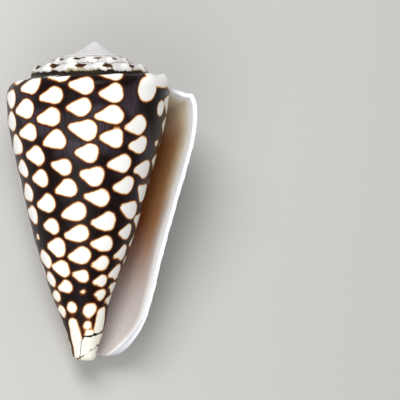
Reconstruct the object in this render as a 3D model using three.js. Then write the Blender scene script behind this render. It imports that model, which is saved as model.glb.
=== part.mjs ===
// A marbled cone shell of the knob-shouldered kind, lying on its back with its mouth up.
// Millimetres, +Z up, +Y towards the tip of the spire, origin at the centre of the footprint.
//
// The shell is described in round coordinates of its own: depth along the coiling axis from the tip of the spire,
// radius from that axis, and a growth angle in degrees that is counted back from the outer lip. The angle is 0 at
// the lip, 360 one whorl earlier, where the body whorl runs in under the lip, and it goes on up the spire.

import * as THREE from 'three';

// Overall size
const LENGTH = 90;

// Spire: the line of the shoulders is a spiral on a low cone with a rounded, slightly drawn-out tip
const SHOULDER_RADIUS = 27.6;
const WHORL_GROWTH = 1.42;
const SPIRE_SLOPE = 0.443;
const TIP_ROUNDING = 0.85;
const TIP_RISE = 0.99;
const TIP_REACH = 2.82;
const SHOULDER_DROOP = 2.1;
const DROOP_RUN = 240;
const SPIRE_TURNS = 8;
const STEPPED_TURNS = 3;

// Sutures, where each whorl meets the one before it
const SUTURE_SPREAD = 1.1;
const SUTURE_DROP = 2.1;
const SUTURE_DROP_FROM = 5.6;
const SUTURE_DROP_TO = 19.7;

// Ramp from suture to shoulder, and the rounded drop from the shoulder to the wall
const RAMP_HOLLOW = 0.11;
const SHOULDER_START = 35;
const LIP_SHOULDER_DROP = 3.95;

// Knobs on the shoulders of the spire. They fade over some turns, counted back from the lip, at both ends.
const KNOBS_PER_WHORL = 12.4;
const KNOB_REACH = 0.024;
const KNOB_RISE = 0.034;
const KNOB_SHARPNESS = 1.4;
const KNOBS_END_TURN = 0.55;
const KNOBS_END_RUN = 0.6;
const KNOBS_START_TURN = 2.6;
const KNOBS_START_RUN = 1.6;
const SUTURE_WAVE = 0.5;

// Wall of the body whorl, as depth and radius, at the lip and one whorl further back
const LIP_PROFILE = [
  [11, 28.7], [19, 29.2], [25, 29], [31, 27.9], [45, 24.3], [60, 20.6], [73, 17.8], [80, 15.6], [90, 11.3],
];
const BACK_PROFILE = [
  [11, 21.5], [18, 20.8], [25, 19.7], [32, 17.9], [54, 12.3], [66, 8.2], [73, 5.8], [80, 4.7], [87, 2.6], [90, 2.3],
];
const WAIST = 0.2;
const WAIST_START = 71;
const WAIST_RUN = 11;

// Front end: the lip turns in along an elliptical corner, and the tip of the pillar is rounded
const LIP_END_DEPTH = 89.2;
const CORNER_START = 76;
const CORNER_ANGLE = 48;
const PILLAR_END_DEPTH = 89.85;
const PILLAR_ROUND = 1.7;
const PILLAR_ROUND_SHARE = 0.3;
const LIP_NOTCH_ANGLE = 6;

// Mouth: thickness of the wall at the lip, in the body whorl and in the thinner whorl inside it
const LIP_THICKNESS = 1;
const WALL_THICKNESS = 3.4;
const INNER_THICKNESS = 1.2;
const THICKENING_RUN = 40;
const THINNING_START = 140;
const THINNING_RUN = 80;
const WALL_SHARE = 0.5;

// Hollow: how far round it is open at the front end and reaches inside, and where its floor ends inside
const OPEN_ANGLE = 170;
const OPEN_FADE = 60;
const HOLLOW_ANGLE = 345;
const FLOOR_END_DEPTH = 60;
const FLOOR_CURVE = 8;

// Inside of the shoulder, set in from the outside by these shares of the wall's thickness
const EDGE_INSET = 0.6;
const TOP_INSET = 0.3;

// Facets
const STEP = 5;
const PER_TURN = 360 / STEP;
const OPEN_STEPS = OPEN_ANGLE / STEP;
const HOLLOW_STEPS = HOLLOW_ANGLE / STEP;
const CLOSING_ANGLE = 75;
const RAMP_ROWS = [0.35, 0.7, 1];
const DROP_ROWS = [0.35, 0.7, 1];
const WALL_ROWS = [0.08, 0.16, 0.36, 0.5, 0.64, 0.77, 0.88, 0.955, 0.985, 0.997, 1];

// The facet of the back that the shell rests on: its column round the whorl and its row down the wall
const REST_COLUMN = 20;
const REST_ROW = 1;

const radians = THREE.MathUtils.degToRad;
const lerp = THREE.MathUtils.lerp;

function smooth(x) {
  const t = Math.min(1, Math.max(0, x));
  return t * t * (3 - 2 * t);
}

// A smooth curve through a list of points, each a depth and a value
function curveAt(points, x) {
  const slope = (i) => {
    const before = points[Math.max(0, i - 1)];
    const after = points[Math.min(points.length - 1, i + 1)];
    return (after[1] - before[1]) / (after[0] - before[0]);
  };
  let i = points.length - 2;
  while (i > 0 && x < points[i][0]) {
    i -= 1;
  }
  const run = points[i + 1][0] - points[i][0];
  const t = Math.min(1, Math.max(0, (x - points[i][0]) / run));
  const fromStart = (1 + 2 * t) * (1 - t) * (1 - t) * points[i][1] + t * (1 - t) * (1 - t) * run * slope(i);
  const fromEnd = t * t * (3 - 2 * t) * points[i + 1][1] - t * t * (1 - t) * run * slope(i + 1);
  return fromStart + fromEnd;
}

// Spire

function coneDepth(radius) {
  const cone = SPIRE_SLOPE * (Math.hypot(radius, TIP_ROUNDING) - TIP_ROUNDING);
  return cone + TIP_RISE * (1 - Math.exp(-((radius / TIP_REACH) ** 2)));
}

// Height of a knob: 1 on its top and 0 between knobs, fading out on the first whorls and towards the lip
function knob(angle) {
  const turns = angle / 360;
  const young = smooth((turns - KNOBS_END_TURN) / KNOBS_END_RUN);
  const old = smooth((turns - KNOBS_START_TURN) / KNOBS_START_RUN);
  return young * (1 - old) * (0.5 + 0.5 * Math.cos(radians(angle * KNOBS_PER_WHORL))) ** KNOB_SHARPNESS;
}

function shoulderAt(angle) {
  const radius = SHOULDER_RADIUS * WHORL_GROWTH ** (-angle / 360);
  const droop = SHOULDER_DROOP * smooth((360 - angle) / DROOP_RUN);
  return {
    radius: radius * (1 + KNOB_REACH * knob(angle)),
    depth: coneDepth(radius) + droop - radius * KNOB_RISE * knob(angle),
  };
}

function sutureAt(angle) {
  const above = SHOULDER_RADIUS * WHORL_GROWTH ** (-angle / 360 - 1);
  const radius = SUTURE_SPREAD * above;
  const drop = SUTURE_DROP * smooth((radius - SUTURE_DROP_FROM) / (SUTURE_DROP_TO - SUTURE_DROP_FROM));
  const wave = SUTURE_WAVE * knob(angle + 360);
  return {
    radius: radius + above * KNOB_REACH * wave,
    depth: coneDepth(radius) + drop + above * KNOB_RISE * wave,
  };
}

// A point of the ramp, with share 0 at the suture and 1 at the shoulder
function rampPoint(angle, share) {
  const suture = sutureAt(angle);
  const shoulder = shoulderAt(angle);
  const hollow = RAMP_HOLLOW * (shoulder.radius - suture.radius) * 4 * share * (1 - share);
  return {
    radius: lerp(suture.radius, shoulder.radius, share),
    depth: lerp(suture.depth, shoulder.depth, share) + hollow,
  };
}

// A point of the rounded drop from a shoulder to the point below it, which it meets upright
function dropPoint(shoulder, below, share) {
  const turn = radians(lerp(SHOULDER_START, 90, share));
  const start = radians(SHOULDER_START);
  const out = (Math.sin(turn) - Math.sin(start)) / (1 - Math.sin(start));
  const down = (Math.cos(start) - Math.cos(turn)) / Math.cos(start);
  return { radius: lerp(shoulder.radius, below.radius, out), depth: lerp(shoulder.depth, below.depth, down) };
}

// Body whorl

function wallRadius(depth, angle) {
  const lip = curveAt(LIP_PROFILE, depth);
  const back = curveAt(BACK_PROFILE, depth);
  const side = angle < 360 ? 0.5 - 0.5 * Math.cos(radians(angle)) : 0;
  const waist = WAIST * smooth((depth - WAIST_START) / WAIST_RUN) * side;
  return lip * (back / lip) ** (angle / 360) * (1 - waist);
}

// Where the rounded drop below the last shoulder ends and the wall begins
function wallTop(angle) {
  const share = angle / 360;
  const drop = lerp(LIP_SHOULDER_DROP, sutureAt(0).depth - shoulderAt(360).depth, share);
  const depth = shoulderAt(angle).depth + drop;
  return { radius: wallRadius(depth, angle), depth };
}

// Growth angle of the free edge at a depth, which turns in towards the front end
function lipAngle(depth) {
  const x = Math.min(1, Math.max(0, (depth - CORNER_START) / (LIP_END_DEPTH - CORNER_START)));
  return CORNER_ANGLE * (1 - Math.sqrt(1 - x * x));
}

// How far the free edge of the ramp stands back, midway between suture and shoulder
function notchAngle(column, share) {
  return LIP_NOTCH_ANGLE * Math.sin(Math.PI * share) * Math.max(0, 1 - column / OPEN_STEPS);
}

// Growth angle of a column of facets at a depth: only the columns near the lip follow its corner
function columnAngle(column, depth) {
  const share = Math.max(0, 1 - column / OPEN_STEPS);
  return column * STEP + lipAngle(depth) * share;
}

// Depth of the front end and how much of the pillar's rounding a column has
function frontEnd(column) {
  const pillar = smooth((column * STEP - OPEN_ANGLE + OPEN_FADE) / OPEN_FADE);
  return { depth: lerp(LIP_END_DEPTH, PILLAR_END_DEPTH, pillar), pillar };
}

function pillarRounding(depth, front) {
  const x = Math.min(1, Math.max(0, (depth - front.depth + PILLAR_ROUND) / PILLAR_ROUND));
  return 1 - front.pillar * PILLAR_ROUND_SHARE * (1 - Math.sqrt(1 - x * x));
}

// Hollow

function roofThickness(angle) {
  const thickened = lerp(LIP_THICKNESS, WALL_THICKNESS, smooth(angle / THICKENING_RUN));
  return lerp(thickened, INNER_THICKNESS, smooth((angle - THINNING_START) / THINNING_RUN));
}

function wallThickness(depth, angle) {
  const gap = wallRadius(depth, angle) - wallRadius(depth, angle + 360);
  return Math.min(roofThickness(angle), WALL_SHARE * gap);
}

// Depth where the hollow ends in a column: the front end as far as it is open, then a floor that rises inside
function floorDepth(column) {
  const inward = smooth((column - OPEN_STEPS) / (HOLLOW_STEPS - OPEN_STEPS));
  return lerp(PILLAR_END_DEPTH, FLOOR_END_DEPTH, inward);
}

// Share of the hollow's full width at a place: it closes round its inner end and along its floor
function hollowWidth(column, share) {
  const inward = Math.max(0, ((column - HOLLOW_STEPS) * STEP + CLOSING_ANGLE) / CLOSING_ANGLE);
  const end = Math.sqrt(Math.max(0, 1 - inward * inward));
  const closed = smooth((column * STEP - OPEN_ANGLE + OPEN_FADE) / OPEN_FADE);
  const floor = 1 - closed * (1 - Math.sqrt(1 - share ** FLOOR_CURVE));
  return end * floor;
}

// Mesh

const positions = [];
const triangles = [];

function addPoint(point, angle) {
  const turn = radians(angle);
  positions.push(point.radius * Math.cos(turn), -point.depth, -point.radius * Math.sin(turn));
  return positions.length / 3 - 1;
}

// Triangles between two lines of points. Points that both lines share give no triangle.
function stitch(left, right) {
  let i = 0;
  let j = 0;
  const add = (a, b, c) => {
    if (a !== b && b !== c && c !== a) {
      triangles.push(a, b, c);
    }
  };
  while (i < left.length - 1 || j < right.length - 1) {
    const leftShare = (i + 1) / (left.length - 1);
    const rightShare = (j + 1) / (right.length - 1);
    if (j >= right.length - 1 || (i < left.length - 1 && leftShare < rightShare)) {
      add(left[i], right[j], left[i + 1]);
      i += 1;
    } else {
      add(left[i], right[j], right[j + 1]);
      j += 1;
    }
  }
}

function stitchAll(columns) {
  for (let i = 0; i < columns.length - 1; i += 1) {
    stitch(columns[i], columns[i + 1]);
  }
}

// Points down the wall between two depths
function wallPoints(startDepth, endDepth, angleOf, front) {
  return WALL_ROWS.map((share) => {
    const depth = lerp(startDepth, endDepth, share);
    const angle = angleOf(depth);
    return addPoint({ radius: wallRadius(depth, angle) * pillarRounding(depth, front), depth }, angle);
  });
}

// The outer surface, one column for each step of growth, from the lip to the first whorls
function outerColumns() {
  const sutures = [];
  const columns = [];
  for (let i = 0; i <= SPIRE_TURNS * PER_TURN; i += 1) {
    sutures.push(addPoint(sutureAt(i * STEP), i * STEP));
  }
  for (let i = 0; i <= SPIRE_TURNS * PER_TURN; i += 1) {
    const angle = i * STEP;
    const column = [sutures[i]];
    const shoulder = shoulderAt(angle);
    if (i <= STEPPED_TURNS * PER_TURN) {
      for (const share of RAMP_ROWS) {
        column.push(addPoint(rampPoint(angle, share), angle + notchAngle(i, share)));
      }
    }
    if (i >= PER_TURN) {
      if (i <= STEPPED_TURNS * PER_TURN) {
        const below = sutureAt(angle - 360);
        for (const share of DROP_ROWS.slice(0, -1)) {
          column.push(addPoint(dropPoint(shoulder, below, share), angle));
        }
      }
      column.push(sutures[i - PER_TURN]);
    } else {
      const top = wallTop(angle);
      for (const share of DROP_ROWS) {
        column.push(addPoint(dropPoint(shoulder, top, share), angle));
      }
    }
    if (i <= PER_TURN) {
      const start = wallTop(angle).depth + LIP_THICKNESS;
      column.push(addPoint({ radius: wallRadius(start, angle), depth: start }, angle));
      const front = frontEnd(i);
      column.push(...wallPoints(start, front.depth, (depth) => columnAngle(i, depth), front));
    }
    columns.push(column);
  }
  return columns;
}

const PILLAR_FRONT = { depth: PILLAR_END_DEPTH, pillar: 1 };

// The body whorl's surface where it runs on under the lip and into the hollow
function underColumns(firstColumn) {
  const columns = [firstColumn];
  for (let i = 1; i <= HOLLOW_STEPS; i += 1) {
    const angle = i * STEP + 360;
    const start = sutureAt(i * STEP).depth + roofThickness(i * STEP);
    const top = addPoint({ radius: wallRadius(start, angle), depth: start }, angle);
    columns.push([top, ...wallPoints(start, floorDepth(i), () => angle, PILLAR_FRONT)]);
  }
  return columns;
}

// One column of the hollow's own roof and wall, opposite a column of the surface under it
function hollowColumn(i, under) {
  const angle = i * STEP;
  const thickness = roofThickness(angle);
  const start = sutureAt(angle).depth + thickness;
  const startRadius = wallRadius(start, angle + 360);
  const shoulder = shoulderAt(angle);
  const outerTop = wallTop(angle);
  const wallStart = outerTop.depth + LIP_THICKNESS;
  const edge = { radius: shoulder.radius - EDGE_INSET * thickness, depth: shoulder.depth + thickness };
  const top = { radius: outerTop.radius - thickness, depth: outerTop.depth + TOP_INSET * thickness };
  const column = [under[0]];
  const pushRoof = (point, at) => {
    const width = hollowWidth(i, 0);
    const radius = lerp(startRadius, point.radius, width);
    column.push(addPoint({ radius, depth: lerp(start, point.depth, width) }, at));
  };
  for (const share of RAMP_ROWS) {
    const depth = rampPoint(angle, share).depth + thickness;
    pushRoof({ radius: lerp(startRadius, edge.radius, share), depth }, angle + notchAngle(i, share));
  }
  for (const share of DROP_ROWS) {
    pushRoof(dropPoint(edge, top, share), angle);
  }
  pushRoof({ radius: wallRadius(wallStart, angle) - thickness, depth: wallStart }, angle);
  const open = i <= OPEN_STEPS;
  const front = open ? frontEnd(i) : PILLAR_FRONT;
  WALL_ROWS.forEach((share, row) => {
    const width = hollowWidth(i, share);
    if (width === 0) {
      column.push(under[row + 1]);
      return;
    }
    const full = lerp(wallStart, open ? front.depth : floorDepth(i), share);
    const closed = lerp(start, floorDepth(i), share);
    const depth = lerp(closed, full, width);
    const at = columnAngle(i, depth);
    const inside = wallRadius(closed, at + 360) * pillarRounding(closed, PILLAR_FRONT);
    const outside = (wallRadius(full, at) - wallThickness(full, at)) * pillarRounding(full, front);
    column.push(addPoint({ radius: lerp(inside, outside, width), depth }, at));
  });
  return column;
}

// All columns of the hollow. The last one lies on the surface under it, so its roof is folded into one point.
function hollowColumns(under) {
  const columns = [];
  for (let i = 0; i < HOLLOW_STEPS; i += 1) {
    columns.push(hollowColumn(i, under[i]));
  }
  const closing = under[HOLLOW_STEPS];
  const roofPoints = RAMP_ROWS.length + DROP_ROWS.length + 1;
  columns.push([...new Array(roofPoints).fill(closing[0]), ...closing]);
  return columns;
}

// Closes the last turn of a spiral line on a middle point. The line runs outwards, and its two ends lie one behind
// the other on one radius, so the wedge beside that radius is fanned from the line's last point but one.
function closeSpiral(line, middle, facesUp) {
  const count = line.length;
  const fan = [];
  for (let i = 0; i < count - 2; i += 1) {
    fan.push([middle, line[i], line[i + 1]]);
  }
  fan.push([line[count - 2], line[count - 1], line[0]]);
  fan.push([line[count - 2], line[0], middle]);
  for (const [a, b, c] of fan) {
    triangles.push(...(facesUp ? [a, c, b] : [a, b, c]));
  }
}

function shellGeometry() {
  const lastOf = (column) => column[column.length - 1];
  const wallCount = WALL_ROWS.length + 1;
  const outer = outerColumns();
  const under = underColumns(outer[PER_TURN].slice(-wallCount));
  const hollow = hollowColumns(under);

  // body whorl, then the spire, then the mouth
  stitchAll(outer.slice(0, PER_TURN + 1).reverse());
  outer[PER_TURN] = outer[PER_TURN].slice(0, -wallCount);
  stitchAll(outer.slice(PER_TURN).reverse());
  stitchAll([...under].reverse());
  stitchAll(hollow);

  // thickness of the wall down the lip, and round the front end as far as the hollow is open
  const front = outer.slice(0, PER_TURN).map(lastOf);
  stitch(outer[0], hollow[0]);
  stitch(front.slice(0, OPEN_STEPS + 1), hollow.slice(0, OPEN_STEPS + 1).map(lastOf));

  // front end of the pillar, and tip of the spire
  const pillar = [...front.slice(OPEN_STEPS), ...under.slice(0, OPEN_STEPS + 1).map(lastOf)].reverse();
  closeSpiral(pillar, addPoint({ radius: 0, depth: LENGTH }, 0), false);
  const firstWhorl = outer.slice(-PER_TURN - 1).map((column) => column[0]);
  closeSpiral(firstWhorl.reverse(), addPoint({ radius: 0, depth: 0 }, 0), true);

  const geometry = new THREE.BufferGeometry();
  geometry.setAttribute('position', new THREE.Float32BufferAttribute(positions, 3));
  geometry.setIndex(triangles);
  geometry.computeVertexNormals();
  return geometry;
}

// Turn that lays the shell down: the resting facet faces the floor, and the spire points along +Y
function restingTurn() {
  const corner = (column, row) => {
    const start = wallTop(column * STEP).depth + LIP_THICKNESS;
    const depth = lerp(start, frontEnd(column).depth, WALL_ROWS[row]);
    const turn = radians(columnAngle(column, depth));
    const radius = wallRadius(depth, columnAngle(column, depth));
    return new THREE.Vector3(radius * Math.cos(turn), -depth, -radius * Math.sin(turn));
  };
  const a = corner(REST_COLUMN + 1, REST_ROW);
  const back = corner(REST_COLUMN, REST_ROW + 1).sub(a);
  const along = corner(REST_COLUMN + 1, REST_ROW + 1).sub(a);
  const facing = back.cross(along).normalize();
  const level = new THREE.Quaternion().setFromUnitVectors(facing, new THREE.Vector3(0, 0, -1));
  const spire = new THREE.Vector3(0, 1, 0).applyQuaternion(level);
  const heading = Math.atan2(spire.x, spire.y);
  return new THREE.Quaternion().setFromAxisAngle(new THREE.Vector3(0, 0, 1), heading).multiply(level);
}

const material = new THREE.MeshStandardMaterial({ color: 0x4a3228, roughness: 0.3, metalness: 0 });
const shell = new THREE.Mesh(shellGeometry(), material);
shell.name = 'shell';
shell.quaternion.copy(restingTurn());
shell.updateMatrixWorld(true);

// Down to the floor, with the middle of the footprint at the origin
const box = new THREE.Box3().setFromObject(shell, true);
shell.position.set(-(box.min.x + box.max.x) / 2, -(box.min.y + box.max.y) / 2, -box.min.z);

const group = new THREE.Group();
group.add(shell);

export default group;
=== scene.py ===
"""Builds a marbled cone shell that lies on its back with its mouth up, with its floor, lights and camera.

The shell is described as it grew, in millimetres and degrees: a depth along the coiling axis from the tip of
the spire, a radius from that axis, and a growth angle counted back from the outer lip. Its points become
metres when it is laid down.
"""

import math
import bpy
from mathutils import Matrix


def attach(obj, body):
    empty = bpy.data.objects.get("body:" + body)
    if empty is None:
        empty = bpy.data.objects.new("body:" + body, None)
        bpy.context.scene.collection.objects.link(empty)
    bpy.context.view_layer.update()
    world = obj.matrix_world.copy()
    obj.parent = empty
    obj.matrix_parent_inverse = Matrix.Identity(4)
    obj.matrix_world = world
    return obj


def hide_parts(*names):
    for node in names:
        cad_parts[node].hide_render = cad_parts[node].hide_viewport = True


bl_info = {
    "name": "Marbled Cone Shell",
    "version": (1, 0, 0),
    "blender": (4, 5, 0),
    "location": "View3D > Sidebar > Cone Shell",
    "description": "A marbled cone shell with a stepped, knobbed spire and an open mouth",
    "category": "Add Mesh",
}

import bpy
import numpy as np
from bpy.props import FloatProperty, FloatVectorProperty, IntProperty, PointerProperty
from mathutils import Matrix, Quaternion, Vector

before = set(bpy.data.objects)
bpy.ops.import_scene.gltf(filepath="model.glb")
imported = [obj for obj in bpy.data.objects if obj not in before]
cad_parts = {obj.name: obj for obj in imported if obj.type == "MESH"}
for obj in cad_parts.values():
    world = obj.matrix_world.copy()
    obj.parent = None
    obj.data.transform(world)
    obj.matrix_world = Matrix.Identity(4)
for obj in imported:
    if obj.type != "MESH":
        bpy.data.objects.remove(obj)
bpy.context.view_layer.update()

MM = 0.001
TINY = 1e-9
TURN = 360.0

# Spire
LENGTH = 90.0
SHOULDER_RADIUS = 27.6
WHORL_GROWTH = 1.42
SPIRE_SLOPE = 0.443
TIP_ROUNDING = 0.85
TIP_RISE = 0.99
TIP_REACH = 2.82
SHOULDER_DROOP = 2.1
DROOP_RUN = 240.0
SPIRE_TURNS = 10
SUTURE_SPREAD = 1.1
SUTURE_DROP = 2.1
SUTURE_DROP_FROM = 5.6
SUTURE_DROP_TO = 19.7
RAMP_HOLLOW = 0.11
SHOULDER_START = 35.0
LIP_SHOULDER_DROP = 3.95
KNOBS_PER_WHORL = 12.4
KNOB_REACH = 0.024
KNOB_RISE = 0.034
KNOB_SHARPNESS = 1.4
KNOBS_END_TURN = 0.55
KNOBS_END_RUN = 0.6
KNOBS_START_TURN = 2.6
KNOBS_START_RUN = 1.6
SUTURE_WAVE = 0.5
TOP_EASING = 30.0

# Body whorl. A profile is a list of depths and radii, at the lip and one turn in.
LIP_PROFILE = [
    (11, 28.7), (19, 29.2), (25, 29), (31, 27.9), (45, 24.3), (60, 20.6), (73, 17.8), (80, 15.6),
    (90, 11.3),
]
BACK_PROFILE = [
    (11, 21.5), (18, 20.8), (25, 19.7), (32, 17.9), (54, 12.3), (66, 8.2), (73, 5.8), (80, 4.7),
    (87, 2.6), (90, 2.3),
]
WAIST = 0.2
WAIST_START = 71.0
WAIST_RUN = 11.0
LIP_END_DEPTH = 89.2
CORNER_START = 76.0
CORNER_ANGLE = 48.0
PILLAR_END_DEPTH = 89.85
PILLAR_ROUND = 1.7
PILLAR_ROUND_SHARE = 0.3
LIP_NOTCH_ANGLE = 6.0
LIP_LIFT = 0.95
LIFT_REACH = 50.0
LIP_RIPPLE = 0.28
RIPPLE_INSIDE = 0.5
RIPPLE_FROM_DEPTH = 20.0
RIPPLE_FADE = 8.0
RIPPLE_REACH = 9.0
RIPPLE_WAVES = ((0.62, 0.0), (1.43, 1.1), (2.9, 2.0))

# Mouth and hollow
LIP_THICKNESS = 1.0
WALL_THICKNESS = 3.4
INNER_THICKNESS = 1.2
THICKENING_RUN = 40.0
BEVEL_SHARE = 0.5
BEVEL_RUN = 6.0
THINNING_START = 140.0
THINNING_RUN = 80.0
WALL_SHARE = 0.5
OPEN_ANGLE = 170.0
PILLAR_FADE = 60.0
HOLLOW_ANGLE = 345.0
FLOOR_END_DEPTH = 60.0
FLOOR_CURVE = 8
EDGE_INSET = 0.6
TOP_INSET = 0.3
CLOSING_ANGLE = 75.0

# Bands of the outside: the ramp is 0 to 1 and the drop below the shoulder 1 to 2
WALL_BAND = 2.0
UNDER_BAND = 3.0

# Places of the two filled ends: turns, distance below the shoulder, and band
TIP_PLACE = (9.0, 0.1, 0.5)
PILLAR_PLACE = (0.9, 80.0, 2.0)

# Rows and columns of the fine mesh
STEP = 1.25
DEEP_STEP = 5.0
PER_TURN = int(TURN / STEP)
OPEN_STEPS = int(OPEN_ANGLE / STEP)
RAMP_ROWS = 6
DROP_ROWS = 6
LIP_ROWS = 3
WALL_ROWS = 84
MERGE_DISTANCE = 1e-6
SMALLEST_EDGE = 1e-7

# Rounding of the lip's edge, which grows and dies away over so many points at its two ends
LIP_BULGE = 0.4
LIP_ROUND_START = 12.0
LIP_ROUND_END = 40.0

# Spots: how far apart their columns are, and the rows of one column, by distance below the shoulder
COLUMN_SPACING = [(-6, 8.4), (35, 8.1), (50, 6.6), (57, 5.2), (66, 4.5), (76, 3.9)]
ROW_SPACING = [(-6, 6.4), (35, 6.2), (50, 5.6), (57, 4.5), (66, 3.9), (76, 3.5)]
FIRST_ROW = -5.0
LAST_ROW = 82.0
FIRST_SPOT = -30.0
LAST_SPOT = 520.0
HEX_WIDTH = math.sqrt(3) / 2
SHAKE = 0.11
RELAXING_STEPS = 25
RELAXING_SHARE = 0.3
SMALL_SPOTS = 0.05
SMALL_SIZE = 0.36
LARGE_SPOTS = 0.1
LARGE_SIZE = 1.14
SIZE_SPREAD = 0.07
LEAN_SPREAD = 8.0
CROWDED_SIZE = 1.05
SPOT_REACH = 9.0
FAR_FROM_SPOTS = 3.0
LAYERS = 3

# The three discs that a spot is drawn round: the place of a disc's middle as a share of the spot's length, and
# of its outer side and its radius as shares of the spot's height
SPOT_CORNERS = ((-0.40, 0.0, 0.18), (0.12, -0.5, 0.45), (0.12, 0.5, 0.45))
CORNER_SHIFT = (0.035, 0.04)
ROUNDING_SPREAD = (0.88, 1.06)

# White marks that stand out of the pattern: growth, where they start and end below the shoulder, half width
MARKS = (
    (314.5, 4.2, 4.2, 3.6), (334.0, 9.2, 9.2, 2.3), (229.0, 67.8, 75.5, 1.55), (309.0, 66.3, 70.8, 1.55),
    (235.0, 63.4, 63.4, 1.7), (275.0, 64.8, 65.0, 1.95), (270.0, 69.0, 69.0, 1.1), (277.0, 71.8, 71.8, 1.1),
)
MARK_GAP = 1.3
MARK_GAP_SHARE = 0.35

# Beside the mouth the shell is white past this growth, down to this distance below the shoulder
WHITE_END_FROM = 315.0
WHITE_END_BELOW = 3.6

# The facet of the solid's back that the shell rests on: the spacing of the columns, the facet's own column,
# and shares of the wall's length
REST_STEP = 5.0
REST_COLUMN = 20
REST_SHARES = (0.16, 0.36)

# Turns and rows of the solid's outside, by shares of the ramp and of the wall
SOLID_SPIRE_TURNS = 8
SOLID_STEPPED_TURNS = 3
SOLID_RAMP_SHARES = (0.35, 0.7, 1.0)
SOLID_WALL_SHARES = (0.08, 0.16, 0.36, 0.5, 0.64, 0.77, 0.88, 0.955, 0.985, 0.997, 1.0)

# Stage. Lights are a name, a place, a size and a share of the key light's power.
FRAME_PIXELS = 400.0
MM_PER_PIXEL = 0.2821
TIP_PIXEL = (95.5, 41.5)
AXIS_LEAN = math.radians(1.44)
LENS = 200.0
SENSOR = 36.0
WORLD_LIGHT = 0.45
WORLD_TONE = (1, 1, 1, 1)
LIGHTS = (("key light", (-0.2, 0.22, 0.5), 0.3, 1.0), ("fill light", (-0.26, -0.34, 0.4), 0.4, 0.6))
LIGHTS_AIM = (0, 0, 0.02)
FLOOR_SIZE = 6.0
FLOOR_TONE = (0.54, 0.535, 0.52, 1)
FLOOR_ROUGHNESS = 0.8


def smooth(x):
    t = np.clip(x, 0.0, 1.0)
    return t * t * (3 - 2 * t)


def between(a, b, t):
    return a + (b - a) * t


def curve_at(points, x):
    """A smooth curve through a list of points, each a depth and a value."""
    xs, ys = np.array(points, float).T
    last = len(xs) - 1
    slopes = np.array([
        (ys[min(last, i + 1)] - ys[max(0, i - 1)]) / (xs[min(last, i + 1)] - xs[max(0, i - 1)])
        for i in range(last + 1)
    ])
    i = np.clip(np.searchsorted(xs, x, side="right") - 1, 0, last - 1)
    run = xs[i + 1] - xs[i]
    t = np.clip((x - xs[i]) / run, 0.0, 1.0)
    start = (1 + 2 * t) * (1 - t) ** 2 * ys[i] + t * (1 - t) ** 2 * run * slopes[i]
    end = t * t * (3 - 2 * t) * ys[i + 1] - t * t * (1 - t) * run * slopes[i + 1]
    return start + end


def cone_depth(radius):
    cone = SPIRE_SLOPE * (np.hypot(radius, TIP_ROUNDING) - TIP_ROUNDING)
    return cone + TIP_RISE * (1 - np.exp(-((radius / TIP_REACH) ** 2)))


def knob(growth):
    """Height of a knob, 1 at most and 0 between knobs, fading out on the first whorls and towards the lip."""
    turns = growth / TURN
    young = smooth((turns - KNOBS_END_TURN) / KNOBS_END_RUN)
    old = smooth((turns - KNOBS_START_TURN) / KNOBS_START_RUN)
    wave = 0.5 + 0.5 * np.cos(np.radians(growth * KNOBS_PER_WHORL))
    return young * (1 - old) * wave ** KNOB_SHARPNESS


def shoulder_at(growth):
    radius = SHOULDER_RADIUS * WHORL_GROWTH ** (-growth / TURN)
    droop = SHOULDER_DROOP * smooth((TURN - growth) / DROOP_RUN)
    height = knob(growth)
    return radius * (1 + KNOB_REACH * height), cone_depth(radius) + droop - radius * KNOB_RISE * height


def suture_at(growth):
    above = SHOULDER_RADIUS * WHORL_GROWTH ** (-growth / TURN - 1)
    radius = SUTURE_SPREAD * above
    drop = SUTURE_DROP * smooth((radius - SUTURE_DROP_FROM) / (SUTURE_DROP_TO - SUTURE_DROP_FROM))
    wave = SUTURE_WAVE * knob(growth + TURN)
    return radius + above * KNOB_REACH * wave, cone_depth(radius) + drop + above * KNOB_RISE * wave


def ramp_point(growth, share):
    """A point of the ramp, with share 0 at the suture and 1 at the shoulder."""
    suture = suture_at(growth)
    shoulder = shoulder_at(growth)
    hollow = RAMP_HOLLOW * (shoulder[0] - suture[0]) * 4 * share * (1 - share)
    return between(suture[0], shoulder[0], share), between(suture[1], shoulder[1], share) + hollow


def drop_point(shoulder, below, share):
    """A point of the rounded drop from a shoulder to the point below it, which it meets upright."""
    turn = np.radians(between(SHOULDER_START, 90.0, share))
    start = math.radians(SHOULDER_START)
    out = (np.sin(turn) - math.sin(start)) / (1 - math.sin(start))
    down = (math.cos(start) - np.cos(turn)) / math.cos(start)
    return between(shoulder[0], below[0], out), between(shoulder[1], below[1], down)


def wall_radius(depth, growth):
    lip = curve_at(LIP_PROFILE, depth)
    back = curve_at(BACK_PROFILE, depth)
    side = np.where(growth < TURN, 0.5 - 0.5 * np.cos(np.radians(growth)), 0.0)
    waist = WAIST * smooth((depth - WAIST_START) / WAIST_RUN) * side
    return lip * (back / lip) ** (growth / TURN) * (1 - waist)


def wall_top(growth):
    """Where the rounded drop below the last shoulder ends and the wall begins."""
    drop = between(LIP_SHOULDER_DROP, suture_at(0.0)[1] - shoulder_at(TURN)[1], growth / TURN)
    depth = shoulder_at(growth)[1] + drop
    return wall_radius(depth, growth), depth


def lip_lift(growth, share):
    """How far the ramp is raised beside the lip: nothing at the suture, and in full from half-way out."""
    return LIP_LIFT * (1 - smooth(growth / LIFT_REACH)) * smooth(2 * share)


def lip_ripple(depth, growth):
    """How far in the uneven edge of the lip lies, fading out over the first few degrees behind it."""
    wave = sum(np.sin(rate * depth + start) for rate, start in RIPPLE_WAVES) / len(RIPPLE_WAVES)
    fade = smooth((depth - RIPPLE_FROM_DEPTH) / RIPPLE_FADE) * (1 - smooth(growth / RIPPLE_REACH))
    return LIP_RIPPLE * (0.5 + 0.5 * wave) * fade


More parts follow.
